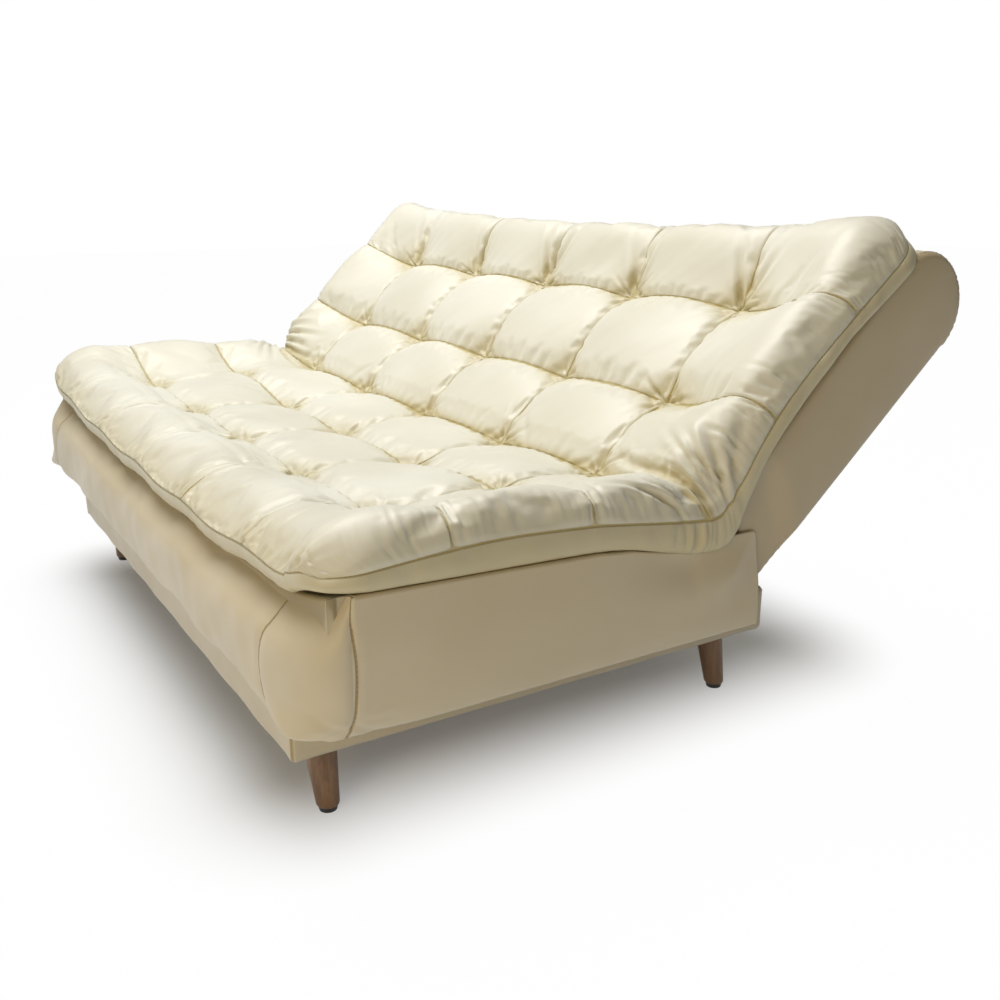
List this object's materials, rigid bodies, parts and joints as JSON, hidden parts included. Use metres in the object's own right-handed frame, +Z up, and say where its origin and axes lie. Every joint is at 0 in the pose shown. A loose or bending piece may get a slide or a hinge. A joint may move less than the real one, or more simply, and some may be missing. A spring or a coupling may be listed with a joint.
{
  "type": "sofa bed",
  "caption": "Armless click clack sofa bed: cream tufted pad over seat and back, low plinth on splayed wooden legs, back clicks from upright to flat.",
  "frame": {"origin": "on the floor, under the middle of the whole sofa's bounding box, with the back at the lounge click", "axes": "+X across the width, to the right when looking at the front; +Y from the front to the rear; +Z up"},
  "size_m": [1.8, 1.242, 0.8851],
  "materials": {
    "leather_pad": "soft pearly faux leather, ivory",
    "leather_base": "soft pearly faux leather, ivory to tan",
    "foam": "upholstery foam under felt",
    "frame_wood": "sawn pine and plywood",
    "leg_wood": "satin mid brown turned wood",
    "steel": "zinc plated",
    "glide_plastic": "matte",
    "rubber": "matte"
  },
  "bodies": {
    "base": {"leg_front_left": "leg_wood", "leg_front_right": "leg_wood", "leg_rear_left": "leg_wood", "leg_rear_right": "leg_wood", "leg_bolt_front_left": "steel", "leg_bolt_front_right": "steel", "leg_bolt_rear_left": "steel", "leg_bolt_rear_right": "steel", "glide_front_left": "glide_plastic", "glide_front_right": "glide_plastic", "glide_rear_left": "glide_plastic", "glide_rear_right": "glide_plastic", "corner_block_front_left": "frame_wood", "corner_block_front_right": "frame_wood", "corner_block_rear_left": "frame_wood", "corner_block_rear_right": "frame_wood", "plinth_front": "leather_base", "plinth_rear": "leather_base", "plinth_left": "leather_base", "plinth_right": "leather_base", "plinth_centre": "frame_wood", "plinth_cover": "leather_base", "back_rest_bumper_left": "rubber", "back_rest_bumper_right": "rubber", "seat_front_rail": "frame_wood", "seat_rear_rail": "frame_wood", "seat_centre_joist": "frame_wood", "seat_side_rail_left": "frame_wood", "seat_side_rail_right": "frame_wood", "seat_deck": "frame_wood", "seat_foam": "foam", "seat_side_panel_left": "leather_base", "seat_side_panel_right": "leather_base", "seat_front_roll": "leather_base", "seat_pad": "leather_pad", "hinge_seat_plate_left": "steel", "hinge_seat_plate_right": "steel", "hinge_pivot_left": "steel", "hinge_pivot_right": "steel"},
    "back": {"back_bottom_rail": "frame_wood", "back_top_rail": "frame_wood", "back_centre_rail": "frame_wood", "back_deck": "frame_wood", "back_rear_panel": "leather_base", "back_side_rail_left": "frame_wood", "back_side_rail_right": "frame_wood", "back_side_panel_left": "leather_base", "back_side_panel_right": "leather_base", "back_top_roll": "leather_base", "back_pad": "leather_pad", "hinge_back_plate_left": "steel", "hinge_back_plate_right": "steel", "pawl_pin_left": "steel", "pawl_pin_right": "steel", "pawl_spring_left": "steel", "pawl_spring_right": "steel"},
    "pawl_left": {"pawl_left": "steel"},
    "pawl_right": {"pawl_right": "steel"}
  },
  "joints": [
    {"name": "back_recline", "type": "hinge", "parent": "base", "child": "back", "pos_m": [0, 0.04403, 0.355], "axis": [1, 0, 0], "range_deg": [-43, 27]},
    {"name": "pawl_left_click", "type": "hinge", "parent": "back", "child": "pawl_left", "pos_m": [-0.8796, 0.10594, 0.35824], "axis": [1, 0, 0], "range_deg": [0, 9]},
    {"name": "pawl_right_click", "type": "hinge", "parent": "back", "child": "pawl_right", "pos_m": [0.8796, 0.10594, 0.35824], "axis": [1, 0, 0], "range_deg": [0, 9]}
  ]
}
